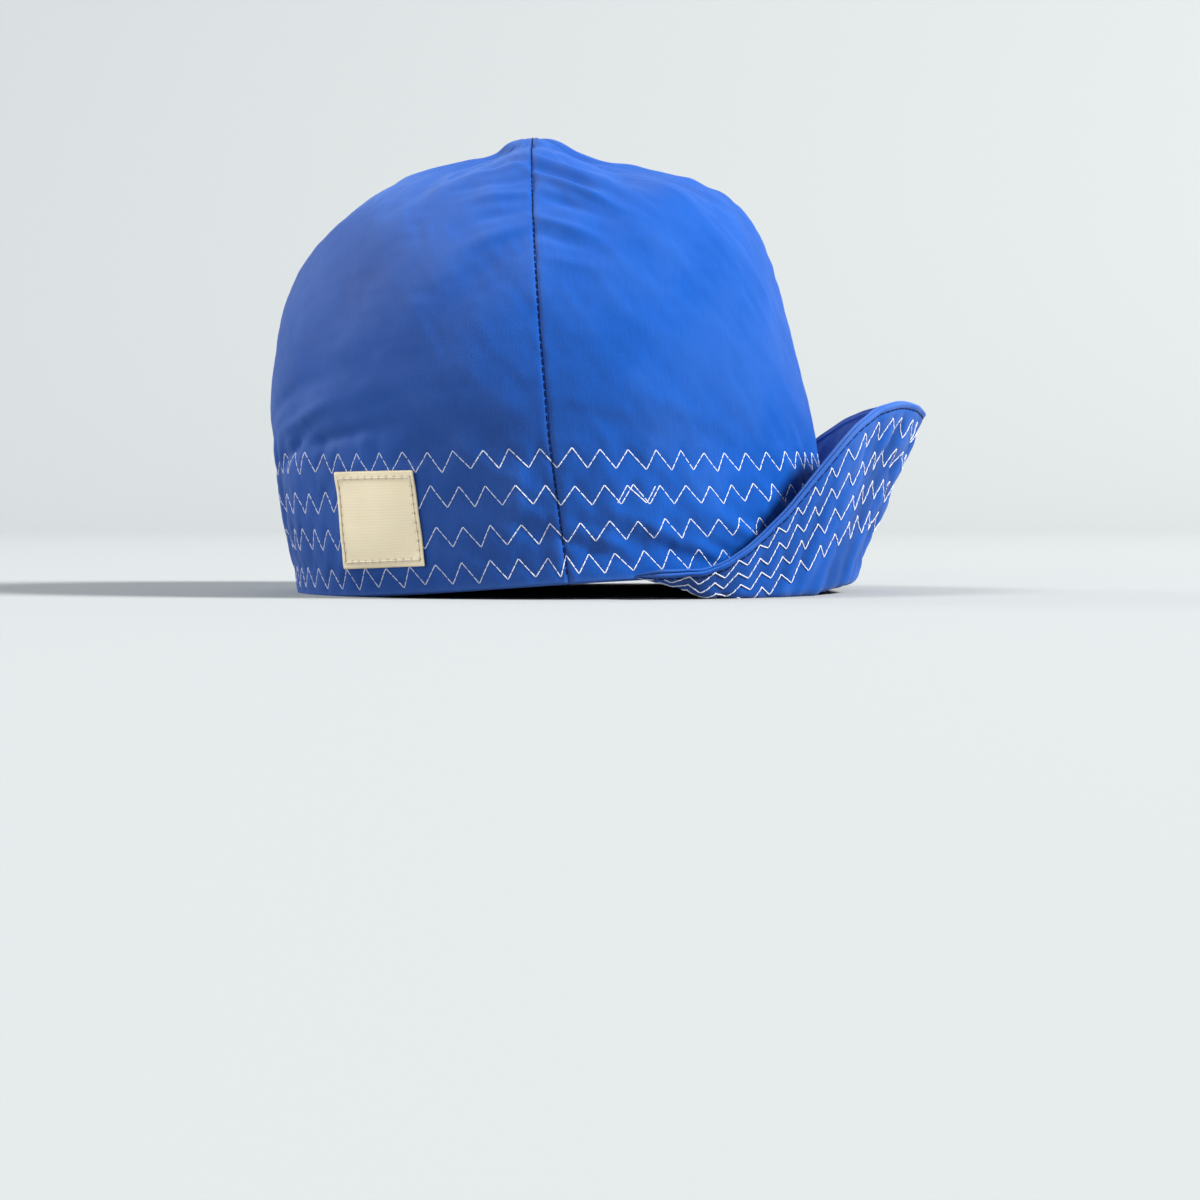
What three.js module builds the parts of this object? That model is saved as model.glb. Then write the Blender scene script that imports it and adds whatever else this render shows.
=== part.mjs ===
// A welder's cap sewn from four cotton panels, standing on its rim with its bill turned up.
// +Z is up, the bill points to -Y, and the wearer's right is -X. The back of the rim and the bill's fold
// rest on z = 0, and the rim rises gently towards the front, where the folded bill hangs below it.
// Each panel is one gore that runs from the rim to the crown's tip. Its lowest part, the band, is doubled.
// The bill is two layers of the same cloth, and a small cream label sits on the back right panel.
import * as THREE from 'three';

// Driving dimensions, in millimetres and degrees
const rimLength = 192;
const rimWidth = 178;
const crownHeight = 159;
const bandHeight = 52;
const cloth = 1.2;
const bandCloth = 2.2;
const seamGap = 0.3;

const billDepth = 62;
const billTipAngle = 11;
const billTurnUp = 79;
const billHang = 4;
const billFoldRadius = 4;
const billCloth = 1.2;
const restSquash = 0.8;
const sewnGap = 0.3;

const labelWidth = 34;
const labelHeight = 32;
const labelLift = 25.4;
const labelFromSeam = 63;
const labelCloth = 0.8;

// The rim lies flat behind the first of these places and has its full rise in front of the second, both in
// degrees from the bill's middle. It rises as far as the bill's fold hangs, less what the weight flattens.
const rimFlatBehind = 150;
const rimFullRise = 60;
const rimRise = billHang + billFoldRadius + sewnGap - restSquash;
const billThickness = 2 * billCloth + sewnGap;

// How finely each piece is faceted
const acrossPanel = 12;
const perSection = 2;
const alongHalfBill = 18;
const acrossBillFold = 5;
const acrossBillFlat = 4;
const acrossLabel = 6;

// Outline of the crown, a row for each level. The rise of a band row is a share of the band's height, and
// that of a dome row a share of what is left above the band. Front, back and side are shares of half the
// rim's length or width. Shift moves the side seams back, as a share of the rim's length. A corner of 1 is an
// oval, and more than 1 draws the four seams out.
const crownSections = [
  { zone: 'band', rise: 0.00, front: 1.000, back: 1.000, side: 1.000, shift: -0.002, corner: 1.00 },
  { zone: 'band', rise: 0.50, front: 0.960, back: 1.046, side: 1.022, shift: 0.014, corner: 1.00 },
  { zone: 'band', rise: 1.00, front: 0.920, back: 1.078, side: 1.030, shift: 0.030, corner: 1.00 },
  { zone: 'dome', rise: 0.14, front: 0.895, back: 1.090, side: 1.036, shift: 0.037, corner: 1.01 },
  { zone: 'dome', rise: 0.33, front: 0.845, back: 1.070, side: 0.995, shift: 0.046, corner: 1.02 },
  { zone: 'dome', rise: 0.51, front: 0.795, back: 1.010, side: 0.905, shift: 0.053, corner: 1.03 },
  { zone: 'dome', rise: 0.67, front: 0.730, back: 0.905, side: 0.780, shift: 0.058, corner: 1.04 },
  { zone: 'dome', rise: 0.80, front: 0.615, back: 0.745, side: 0.615, shift: 0.061, corner: 1.05 },
  { zone: 'dome', rise: 0.875, front: 0.460, back: 0.570, side: 0.450, shift: 0.063, corner: 1.07 },
  { zone: 'dome', rise: 0.915, front: 0.270, back: 0.400, side: 0.295, shift: 0.064, corner: 1.09 },
  { zone: 'dome', rise: 0.945, front: 0.080, back: 0.270, side: 0.175, shift: 0.064, corner: 1.08 },
  { zone: 'dome', rise: 0.985, front: -0.040, back: 0.200, side: 0.085, shift: 0.064, corner: 1.04 },
  { zone: 'dome', rise: 1.00, front: -0.128, back: 0.128, side: 0.000, shift: 0.064, corner: 1.00 },
];

// Soft folds and hollows, a row for each. Around is in degrees from the bill's middle towards the wearer's
// right, and up is a share of the way along the cloth from rim to tip. Turn leans a fold away from upright.
// Length and width are shares of the rim's width, and relief is in cloth thicknesses, out of the crown.
const folds = [
  { around: 90, up: 0.87, turn: 0, length: 0.13, width: 0.08, relief: 4.4 },
  { around: -90, up: 0.87, turn: 0, length: 0.13, width: 0.08, relief: 3.6 },
  { around: 0, up: 0.84, turn: 0, length: 0.12, width: 0.06, relief: 1.4 },
  { around: 180, up: 0.84, turn: 0, length: 0.12, width: 0.06, relief: 1.4 },
  { around: 62, up: 0.13, turn: -50, length: 0.24, width: 0.10, relief: -2.0 },
  { around: 38, up: 0.33, turn: -35, length: 0.30, width: 0.10, relief: -1.2 },
  { around: 16, up: 0.45, turn: -10, length: 0.34, width: 0.09, relief: -1.4 },
  { around: 50, up: 0.86, turn: 35, length: 0.20, width: 0.09, relief: -1.8 },
  { around: 120, up: 0.88, turn: -40, length: 0.22, width: 0.10, relief: -1.5 },
  { around: 150, up: 0.30, turn: 60, length: 0.26, width: 0.09, relief: -1.0 },
  { around: -62, up: 0.13, turn: 50, length: 0.24, width: 0.10, relief: -2.0 },
  { around: -42, up: 0.36, turn: 35, length: 0.30, width: 0.10, relief: -1.2 },
  { around: -130, up: 0.86, turn: 40, length: 0.22, width: 0.10, relief: -1.6 },
  { around: -155, up: 0.30, turn: -60, length: 0.26, width: 0.09, relief: -1.0 },
];

// Half of the bill, a row for each station from its tip to its middle. Hang is the share of the full fold
// below the rim, turn the share of the full turn up, and depth the share of the bill's depth above its fold.
const billStations = [
  { along: 0.00, hang: 0.00, turn: 0.080, depth: 0.050 },
  { along: 0.10, hang: 0.36, turn: 0.420, depth: 0.065 },
  { along: 0.20, hang: 0.82, turn: 0.760, depth: 0.120 },
  { along: 0.30, hang: 1.00, turn: 0.930, depth: 0.240 },
  { along: 0.40, hang: 1.00, turn: 0.985, depth: 0.410 },
  { along: 0.50, hang: 0.96, turn: 0.995, depth: 0.630 },
  { along: 0.62, hang: 0.84, turn: 0.985, depth: 0.890 },
  { along: 0.74, hang: 0.66, turn: 0.955, depth: 1.000 },
  { along: 0.87, hang: 0.46, turn: 0.895, depth: 1.010 },
  { along: 1.00, hang: 0.26, turn: 0.800, depth: 0.975 },
];

const blueCotton = { color: 0x1d5fd0, roughness: 0.82, metalness: 0 };
const creamCotton = { color: 0xe8dcc0, roughness: 0.9, metalness: 0 };

// A smooth curve through one column of a table, read at a station that may lie between two rows
function columnAt(table, name, station) {
  const last = table.length - 1;
  const row = Math.min(Math.floor(station), last - 1);
  const value = (index) => table[THREE.MathUtils.clamp(index, 0, last)][name];
  const before = row > 0 ? value(row - 1) : 2 * value(0) - value(1);
  const after = row < last - 1 ? value(row + 2) : 2 * value(last) - value(last - 1);
  const share = station - row;
  const slopeIn = (value(row + 1) - before) / 2;
  const slopeOut = (after - value(row)) / 2;
  const rise = value(row + 1) - value(row);
  const bend = 3 * rise - 2 * slopeIn - slopeOut;
  const twist = slopeIn + slopeOut - 2 * rise;
  return value(row) + share * (slopeIn + share * (bend + share * twist));
}

// The station at which a rising column reaches a value
function stationWhere(table, name, wanted) {
  let low = 0;
  let high = table.length - 1;
  while (high - low > 1e-6) {
    const middle = (low + high) / 2;
    if (columnAt(table, name, middle) < wanted) low = middle;
    else high = middle;
  }
  return (low + high) / 2;
}

const sections = crownSections.map((row) => ({
  height: row.zone === 'band' ? row.rise * bandHeight : bandHeight + row.rise * (crownHeight - bandHeight),
  front: (row.front * rimLength) / 2,
  back: (row.back * rimLength) / 2,
  side: (row.side * rimWidth) / 2,
  shift: row.shift * rimLength,
  corner: row.corner,
  wall: row.zone === 'band' ? bandCloth : cloth,
}));
const tipStation = sections.length - 1;

// How far along the cloth each section lies from the rim, followed up the side seam
sections.forEach((row, index) => {
  const below = sections[index - 1];
  row.travel = below ? below.travel + Math.hypot(row.height - below.height, row.side - below.side) : 0;
});
const clothLength = sections[tipStation].travel;

// Height of the rim above the resting plane
function rimHeight(end, angle) {
  const fromBill = 90 + end * THREE.MathUtils.radToDeg(angle);
  return rimRise * (1 - THREE.MathUtils.smoothstep(fromBill, rimFullRise, rimFlatBehind));
}

// The crown before its folds. A panel is given by its side, -1 for the wearer's right, and its end, -1 for
// the front. The angle runs from 0 at the side seam to a right angle at the front or back seam.
function smoothCrown(side, end, angle, station) {
  const at = (name) => columnAt(sections, name, station);
  const corner = at('corner');
  const reach = end < 0 ? at('front') + at('shift') : at('back') - at('shift');
  const across = Math.pow(Math.max(Math.cos(angle), 0), corner);
  const along = Math.pow(Math.max(Math.sin(angle), 0), corner);
  const height = at('height') + rimHeight(end, angle) * Math.max(0, 1 - at('height') / bandHeight);
  return new THREE.Vector3(side * at('side') * across, at('shift') + end * reach * along, height);
}

// Outward direction of the smooth crown, kept within the seam's plane along a seam
function crownNormal(side, end, angle, station) {
  const step = 0.02;
  const level = Math.min(station, tipStation - step);
  const turned = THREE.MathUtils.clamp(angle, step, Math.PI / 2 - step);
  const between = (from, to) => smoothCrown(side, end, ...to).sub(smoothCrown(side, end, ...from));
  const up = between([turned, level - step], [turned, level + step]);
  const round = between([turned - step, level], [turned + step, level]);
  const normal = round.cross(up).multiplyScalar(side * end);
  if (angle <= 0) normal.y = 0;
  if (angle >= Math.PI / 2) normal.x = 0;
  if (station >= tipStation) normal.set(0, 0, 1);
  return normal.normalize();
}

function foldRelief(side, end, angle, station) {
  const quarter = THREE.MathUtils.radToDeg(angle);
  const around = -side * (90 + end * quarter);
  const travel = columnAt(sections, 'travel', station);
  const radius = columnAt(sections, 'side', station);
  return folds.reduce((sum, fold) => {
    const turn = THREE.MathUtils.degToRad(fold.turn);
    const over = THREE.MathUtils.degToRad(around - fold.around) * radius;
    const rise = travel - fold.up * clothLength;
    const lengthwise = (rise * Math.cos(turn) + over * Math.sin(turn)) / (fold.length * rimWidth);
    const sideways = (over * Math.cos(turn) - rise * Math.sin(turn)) / (fold.width * rimWidth);
    return sum + fold.relief * cloth * Math.exp(-lengthwise * lengthwise - sideways * sideways);
  }, 0);
}

// A point of the crown, a given distance outside its outer face
function crownPoint(side, end, angle, station, outside = 0) {
  const settled = Math.min(1, columnAt(sections, 'height', station) / bandHeight);
  const relief = settled * foldRelief(side, end, angle, station);
  const normal = crownNormal(side, end, angle, station);
  return smoothCrown(side, end, angle, station).addScaledVector(normal, relief + outside);
}

// Joins two grids of points, one for each face of a sheet of cloth, into one closed solid
function sheetSolid(outer, inner) {
  const lastRow = outer.length - 1;
  const lastColumn = outer[0].length - 1;
  const positions = [];
  const known = new Map();
  const number = (point) => {
    const key = point.toArray().map((value) => value.toFixed(4)).join();
    if (!known.has(key)) {
      known.set(key, positions.length / 3);
      positions.push(point.x, point.y, point.z);
    }
    return known.get(key);
  };
  const indices = [];
  const quad = (...points) => {
    const corners = points.map(number);
    for (const [i, j, k] of [[0, 1, 2], [0, 2, 3]]) {
      const face = [corners[i], corners[j], corners[k]];
      if (new Set(face).size === 3) indices.push(...face);
    }
  };
  for (let row = 0; row < lastRow; row += 1) {
    const [low, high, lowIn, highIn] = [outer[row], outer[row + 1], inner[row], inner[row + 1]];
    for (let column = 0; column < lastColumn; column += 1) {
      quad(low[column], low[column + 1], high[column + 1], high[column]);
      quad(lowIn[column], highIn[column], highIn[column + 1], lowIn[column + 1]);
    }
    quad(low[0], high[0], highIn[0], lowIn[0]);
    quad(high[lastColumn], low[lastColumn], lowIn[lastColumn], highIn[lastColumn]);
  }
  const [bottom, bottomIn, top, topIn] = [outer[0], inner[0], outer[lastRow], inner[lastRow]];
  for (let column = 0; column < lastColumn; column += 1) {
    quad(bottom[column + 1], bottom[column], bottomIn[column], bottomIn[column + 1]);
    quad(top[column], top[column + 1], topIn[column + 1], topIn[column]);
  }
  const geometry = new THREE.BufferGeometry();
  geometry.setAttribute('position', new THREE.Float32BufferAttribute(positions, 3));
  geometry.setIndex(indices);
  geometry.computeVertexNormals();
  return geometry;
}

function pieceOf(name, outer, inner, finish) {
  const mesh = new THREE.Mesh(sheetSolid(outer, inner), new THREE.MeshStandardMaterial(finish));
  mesh.name = name;
  return mesh;
}

// A grid of points, a row for each entry of the first list and a column for each entry of the second
const gridOf = (rows, columns, pointAt) => rows.map((row) => columns.map((column) => pointAt(row, column)));
const evenSteps = (count, low, high) =>
  Array.from({ length: count + 1 }, (_, index) => THREE.MathUtils.lerp(low, high, index / count));

// Crown panels, each a quarter of the crown, set back from its seams by half the seam's gap
function crownPanel(name, side, end) {
  const stations = evenSteps(tipStation * perSection, 0, tipStation);
  const angles = evenSteps(acrossPanel, 0, Math.PI / 2);
  if (side * end < 0) angles.reverse();
  const faceAt = (depth) =>
    gridOf(stations, angles, (station, angle) => {
      const point = crownPoint(side, end, angle, station, -depth * columnAt(sections, 'wall', station));
      if (station === 0) point.z = rimHeight(end, angle);
      return point;
    });
  const panel = pieceOf(name, faceAt(0), faceAt(1), blueCotton);
  panel.position.set((side * seamGap) / 2, (end * seamGap) / 2, 0);
  return panel;
}

// One point of the bill. Along runs from -1 at the wearer's right tip to 1 at the left tip. Across runs from
// 0 at the rim to 1 where the cloth starts to bend, 2 where it is turned up and 3 at the free edge. Lift is
// the height above the bill's outer face.
function billPoint(along, across, lift) {
  const side = along < 0 ? -1 : 1;
  const fromTip = 1 - Math.abs(along);
  const station = stationWhere(billStations, 'along', fromTip);
  const angle = THREE.MathUtils.lerp(THREE.MathUtils.degToRad(billTipAngle), Math.PI / 2, fromTip);
  const outward = crownNormal(side, -1, angle, 0).setZ(0).normalize();
  const hang = columnAt(billStations, 'hang', station);
  const start = (hang * Math.PI) / 2;
  const turn = THREE.MathUtils.degToRad(billTurnUp * columnAt(billStations, 'turn', station));
  const heading = THREE.MathUtils.lerp(-start, turn, THREE.MathUtils.clamp(across - 1, 0, 1));
  const hung = Math.min(across, 1) * hang * billHang;
  const flat = Math.max(across - 2, 0) * billDepth * columnAt(billStations, 'depth', station);
  const seat = billThickness * Math.sin(start);
  const root = new THREE.Vector2(Math.cos(start), -Math.sin(start)).multiplyScalar(sewnGap + hung);
  const seated = new THREE.Vector2(-Math.sin(start), -Math.cos(start)).multiplyScalar(seat);
  const bent = new THREE.Vector2(Math.sin(start) + Math.sin(heading), Math.cos(start) - Math.cos(heading));
  const upper = new THREE.Vector2(-Math.sin(heading), Math.cos(heading)).multiplyScalar(lift);
  const section = new THREE.Vector2(Math.cos(turn), Math.sin(turn)).multiplyScalar(flat);
  section.add(root).add(seated).add(bent.multiplyScalar(billFoldRadius)).add(upper);
  const height = Math.max(rimHeight(-1, angle) + section.y, lift);
  return smoothCrown(side, -1, angle, 0).addScaledVector(outward, section.x).setZ(height);
}

function billLayer(name, lift) {
  const along = evenSteps(2 * alongHalfBill, 1, -1);
  const across = [0, ...evenSteps(acrossBillFold, 1, 2), ...evenSteps(acrossBillFlat, 2, 3).slice(1)];
  const faceAt = (height) => gridOf(along, across, (station, share) => billPoint(station, share, height));
  return pieceOf(name, faceAt(lift), faceAt(lift + billCloth), blueCotton);
}

// Label, bent to the band of the back right panel
function label() {
  const side = -1;
  const end = 1;
  const level = stationWhere(sections, 'height', labelLift);
  const across = evenSteps(acrossPanel, 0, Math.PI / 2).map((angle) => smoothCrown(side, end, angle, level));
  const panelWidth = across.slice(1).reduce((sum, point, index) => sum + point.distanceTo(across[index]), 0);
  const heights = evenSteps(acrossLabel, labelLift - labelHeight / 2, labelLift + labelHeight / 2);
  const fromSeam = evenSteps(acrossLabel, labelFromSeam + labelWidth / 2, labelFromSeam - labelWidth / 2);
  const angles = fromSeam.map((length) => (length / panelWidth) * (Math.PI / 2));
  const faceAt = (outside) =>
    gridOf(heights, angles, (height, angle) =>
      crownPoint(side, end, angle, stationWhere(sections, 'height', height), outside));
  return pieceOf('label', faceAt(sewnGap + labelCloth), faceAt(sewnGap), creamCotton);
}

const cap = new THREE.Group();
cap.add(
  crownPanel('panel_front_right', -1, -1),
  crownPanel('panel_front_left', 1, -1),
  crownPanel('panel_back_right', -1, 1),
  crownPanel('panel_back_left', 1, 1),
  billLayer('bill_outer', 0),
  billLayer('bill_inner', billCloth + sewnGap),
  label(),
);

// The origin is on the resting plane, below the middle of the cap's outline
const outline = new THREE.Box3().setFromObject(cap);
const centre = outline.getCenter(new THREE.Vector3());
cap.position.set(-centre.x, -centre.y, 0);

export default cap;
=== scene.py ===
# A welder's cap of royal blue cotton twill, standing on its rim with its stitched bill turned up.
# Lengths are in millimetres until a piece is made. +Z is up, the bill points to -Y and the wearer's
# right is -X.
import bpy
import numpy as np
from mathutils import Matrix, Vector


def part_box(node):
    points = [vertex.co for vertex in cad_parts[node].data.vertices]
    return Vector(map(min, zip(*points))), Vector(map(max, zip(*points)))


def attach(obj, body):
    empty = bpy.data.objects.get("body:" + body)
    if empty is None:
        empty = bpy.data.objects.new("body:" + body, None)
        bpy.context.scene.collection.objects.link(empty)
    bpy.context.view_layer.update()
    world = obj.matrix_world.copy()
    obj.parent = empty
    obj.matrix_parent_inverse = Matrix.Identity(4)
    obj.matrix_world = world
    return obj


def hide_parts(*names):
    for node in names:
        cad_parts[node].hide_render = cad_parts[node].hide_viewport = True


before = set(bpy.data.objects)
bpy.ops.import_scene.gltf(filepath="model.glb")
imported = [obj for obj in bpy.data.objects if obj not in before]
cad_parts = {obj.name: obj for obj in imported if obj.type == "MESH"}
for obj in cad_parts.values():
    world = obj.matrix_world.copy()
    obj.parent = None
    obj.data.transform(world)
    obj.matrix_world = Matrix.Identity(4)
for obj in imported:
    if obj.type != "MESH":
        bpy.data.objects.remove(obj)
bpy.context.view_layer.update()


# Crown panels: four gores of royal blue cotton twill, sewn edge to edge into a deep soft cap.
# Each runs from the rim to the crown's tip, and its lowest part is two layers, the band. The cloth is cut
# full, so it bulges over the band, puckers beside the seams and is pinched in along the zigzag rows.
MM = 0.001
rim_length, rim_width = 192, 178
crown_height, band_height = 159, 52

# One layer of cloth, the two layers of the band, and the gap between two panels along their seam.
cloth, band_cloth, seam_gap = 1.2, 2.2, 0.3

# The bill hangs from the rim and folds up under its front, so the rim stands higher there. It is flat on
# the floor from 150 degrees off the bill's middle and has its full rise within 60 degrees. The cap's
# weight squashes the fold a little.
rim_flat_behind, rim_full_rise = 150, 60
bill_hang, bill_fold_radius, rest_squash, sewn_gap = 4, 4, 0.8, 0.3
rim_rise = bill_hang + bill_fold_radius + sewn_gap - rest_squash

# The crown's outline, level by level, as in the part: height above the rim, reach to the front, the back
# and the side, how far the side seam lies behind the middle, and how much the outline draws in between
# the seams, where 1 is an ellipse.
band_rises = np.array([0, 0.5, 1]) * band_height
dome_shares = np.array([0.14, 0.33, 0.51, 0.67, 0.80, 0.875, 0.915, 0.945, 0.985, 1])
dome_rises = dome_shares * (crown_height - band_height)
front_shares = np.array([1, 0.96, 0.92, 0.895, 0.845, 0.795, 0.73, 0.615, 0.46, 0.27, 0.08, -0.04, -0.128])
back_shares = np.array([1, 1.046, 1.078, 1.09, 1.07, 1.01, 0.905, 0.745, 0.57, 0.4, 0.27, 0.2, 0.128])
side_shares = np.array([1, 1.022, 1.03, 1.036, 0.995, 0.905, 0.78, 0.615, 0.45, 0.295, 0.175, 0.085, 0])
shift_shares = np.array([-2, 14, 30, 37, 46, 53, 58, 61, 63, 64, 64, 64, 64]) / 1000
crown_levels = {
    "height": np.concatenate([band_rises, band_height + dome_rises]),
    "front": front_shares * rim_length / 2,
    "back": back_shares * rim_length / 2,
    "side": side_shares * rim_width / 2,
    "shift": shift_shares * rim_length,
    "corner": np.array([1, 1, 1, 1.01, 1.02, 1.03, 1.04, 1.05, 1.07, 1.09, 1.08, 1.04, 1]),
}
tip = len(crown_levels["height"]) - 1


# The value of a column of levels at stations between them, on a smooth curve through its numbers.
def along_column(values, station):
    padded = np.concatenate([[2 * values[0] - values[1]], values, [2 * values[-1] - values[-2]]])
    row = np.clip(np.floor(station).astype(int), 0, len(values) - 2)
    share = station - row
    before, low, high, after = (padded[row + step] for step in range(4))
    slope_in, slope_out, rise = (high - before) / 2, (after - low) / 2, high - low
    bend = 3 * rise - 2 * slope_in - slope_out
    return low + share * (slope_in + share * (bend + share * (slope_in + slope_out - 2 * rise)))


def smooth_step(value, low, high):
    share = np.clip((value - low) / (high - low), 0, 1)
    return share * share * (3 - 2 * share)


def rim_height(end, angle):
    from_bill = 90 + end * np.degrees(angle)
    return rim_rise * (1 - smooth_step(from_bill, rim_full_rise, rim_flat_behind))


# The crown before its relief. A panel is given by its side, -1 for the wearer's right, and its end, -1 for
# the bill's. The angle runs from 0 at the side seam to a right angle at the front or back seam.
def crown_shape(side, end, angle, station):
    at = {name: along_column(values, station) for name, values in crown_levels.items()}
    reach = np.where(end < 0, at["front"] + at["shift"], at["back"] - at["shift"])
    across = np.maximum(np.cos(angle), 0) ** at["corner"]
    along = np.maximum(np.sin(angle), 0) ** at["corner"]
    height = at["height"] + rim_height(end, angle) * np.maximum(0, 1 - at["height"] / band_height)
    return np.stack([side * at["side"] * across, at["shift"] + end * reach * along, height], -1)


# Outward direction of the crown, kept within the seam's plane along a seam.
def crown_normal(side, end, angle, station):
    step, touching = 0.02, 1e-6
    level = np.minimum(station, tip - step)
    turned = np.clip(angle, step, np.pi / 2 - step)
    up = crown_shape(side, end, turned, level + step) - crown_shape(side, end, turned, level - step)
    around = crown_shape(side, end, turned + step, level) - crown_shape(side, end, turned - step, level)
    normal = np.cross(around, up) * (side * end)[..., None]
    normal[..., 1] = np.where(angle <= touching, 0, normal[..., 1])
    normal[..., 0] = np.where(angle >= np.pi / 2 - touching, 0, normal[..., 0])
    normal[station >= tip - touching] = (0, 0, 1)
    return normal / np.linalg.norm(normal, axis=-1, keepdims=True)


# Lengths along the cloth: up from the rim, and round the band from the front seam by the wearer's right.
fine_stations = np.linspace(0, tip, 1201)
meridian = np.hypot(np.diff(along_column(crown_levels["side"], fine_stations)),
                    np.diff(along_column(crown_levels["height"], fine_stations)))
fine_travel = np.concatenate([[0], np.cumsum(meridian)])
cloth_length = fine_travel[-1]
fine_angles = np.linspace(0, np.pi / 2, 181)
quarter_arcs = {}
for end in (-1, 1):
    ring = crown_shape(-1, end, fine_angles, np.full_like(fine_angles, 1.0))
    quarter_arcs[end] = np.concatenate([[0], np.cumsum(np.linalg.norm(np.diff(ring, axis=0), axis=1))])
front_width, back_width = quarter_arcs[-1][-1], quarter_arcs[1][-1]
girth = 2 * (front_width + back_width)


def arc_from_side_seam(end, angle):
    ahead = np.interp(angle, fine_angles, quarter_arcs[-1])
    behind = np.interp(angle, fine_angles, quarter_arcs[1])
    return np.where(end < 0, ahead, behind)


def round_from(side, end, angle):
    right = front_width + end * arc_from_side_seam(end, angle)
    return np.where(side < 0, right, girth - right)


def place_round(length):
    length = np.mod(length, girth)
    side = np.where(length < girth / 2, -1, 1)
    right = np.where(side < 0, length, girth - length)
    end = np.where(right < front_width, -1, 1)
    ahead = np.interp(front_width - right, quarter_arcs[-1], fine_angles)
    behind = np.interp(right - front_width, quarter_arcs[1], fine_angles)
    return side, end, np.where(end < 0, ahead, behind)


# Crumpled cloth: smooth random relief from -1 to 1 in cells of the given size. With a period it closes on
# itself round the cap.
def crumple(across, up, cell_across, cell_up, seed, period=None):
    most_across, most_up = 400, 260
    rows = int(np.ceil(most_up / cell_up)) + 3
    columns = int(round((period or most_across) / cell_across)) + (0 if period else 3)
    lattice = np.random.default_rng(seed).uniform(-1, 1, (rows, columns))
    x = across / (period / columns) if period else across / cell_across
    y = up / cell_up + 1
    column, row = np.floor(x).astype(int), np.floor(y).astype(int)
    fade_x, fade_y = (t * t * (3 - 2 * t) for t in (x - column, y - row))
    row = np.clip(row, 0, rows - 2)
    left, right = column % columns, (column + 1) % columns
    low = lattice[row, left] * (1 - fade_x) + lattice[row, right] * fade_x
    high = lattice[row + 1, left] * (1 - fade_x) + lattice[row + 1, right] * fade_x
    return low * (1 - fade_y) + high * fade_y


# Main folds, as in the part: degrees from the bill's middle to the wearer's right, share of the way up,
# lean in degrees, length and width as shares of the rim's width, and relief in cloth thicknesses.
main_folds = [
    (90, 0.87, 0, 0.13, 0.08, 4.4), (-90, 0.87, 0, 0.13, 0.08, 3.6),
    (0, 0.84, 0, 0.12, 0.06, 1.4), (180, 0.84, 0, 0.12, 0.06, 1.4),
    (62, 0.13, -50, 0.24, 0.10, -2.0), (38, 0.33, -35, 0.30, 0.10, -1.2), (16, 0.45, -10, 0.34, 0.09, -1.4),
    (50, 0.86, 35, 0.20, 0.09, -1.8), (120, 0.88, -40, 0.22, 0.10, -1.5), (150, 0.30, 60, 0.26, 0.09, -1.0),
    (-62, 0.13, 50, 0.24, 0.10, -2.0), (-42, 0.36, 35, 0.30, 0.10, -1.2),
    (-130, 0.86, 40, 0.22, 0.10, -1.6), (-155, 0.30, -60, 0.26, 0.09, -1.0),
]

# The label's size, the height of its middle above the rim, its distance behind the right side seam and its
# cloth. It presses the band under it flat.
label_width, label_height, label_lift, label_from_seam, label_cloth = 34, 32, 25.4, 63, 0.8

# Finer creases on the wearer's right: millimetres ahead of the side seam, millimetres up from the rim,
# lean from level in degrees, half length, half width and relief.
fine_creases = [
    (7, 12, -28, 13, 2.6, -0.8), (14, 15, -28, 13, 2.4, 0.8), (24, 11, -26, 15, 2.8, -0.7),
    (36, 17, -24, 18, 3.0, 1.0), (38, 9, -22, 22, 3.2, -1.3), (55, 10, -24, 18, 3.4, -1.5),
    (63, 18, -28, 16, 3.2, 1.0), (78, 16, -34, 16, 3.4, -1.1), (90, 24, -40, 18, 3.6, 0.9),
    (102, 20, -46, 16, 3.6, -1.0), (20, 58, -14, 20, 3.6, -0.5), (48, 62, -20, 26, 4.2, 0.5),
    (-22, 26, -30, 18, 3.4, -0.5), (-14, 38, -32, 18, 3.2, 0.45), (-34, 14, -24, 18, 3.0, -0.5),
    (-84, 53, 8, 22, 2.4, -1.3), (-104, 60, 14, 20, 2.6, 1.1), (-112, 50, 24, 14, 2.4, -1.3),
    (-122, 66, 20, 16, 2.8, -0.7), (-60, 70, 8, 26, 4.0, 0.5), (-96, 72, 12, 24, 3.4, -0.5),
    (10, 160, -34, 12, 2.0, 1.5), (11, 154, -34, 14, 2.0, -1.7), (13, 147, -36, 16, 1.7, 2.0),
    (12, 139, -30, 13, 2.4, -1.3), (9, 128, -24, 11, 2.0, 1.3), (10, 121, -20, 11, 2.4, -1.0),
    (11, 112, -12, 12, 2.2, 0.6), (27, 160, -50, 14, 4.5, -2.6), (42, 150, -42, 22, 6.0, 1.6),
    (-12, 160, 14, 14, 2.6, 1.0), (-13, 151, 12, 14, 2.4, -1.0), (-12, 143, 12, 12, 2.2, 0.9),
    (-11, 133, 18, 12, 2.4, -0.7), (-12, 124, 22, 14, 2.4, 0.6),
]

# Crumples all over the crown, finer ones last: relief, slant, size round and up the cloth, and seed.
crumples = [
    (0.55, 0.8, 17, 38, 4), (0.40, -0.9, 13, 30, 7), (0.14, -0.6, 4.2, 9, 6), (0.10, 0.3, 6.0, 3.6, 8),
]

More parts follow.
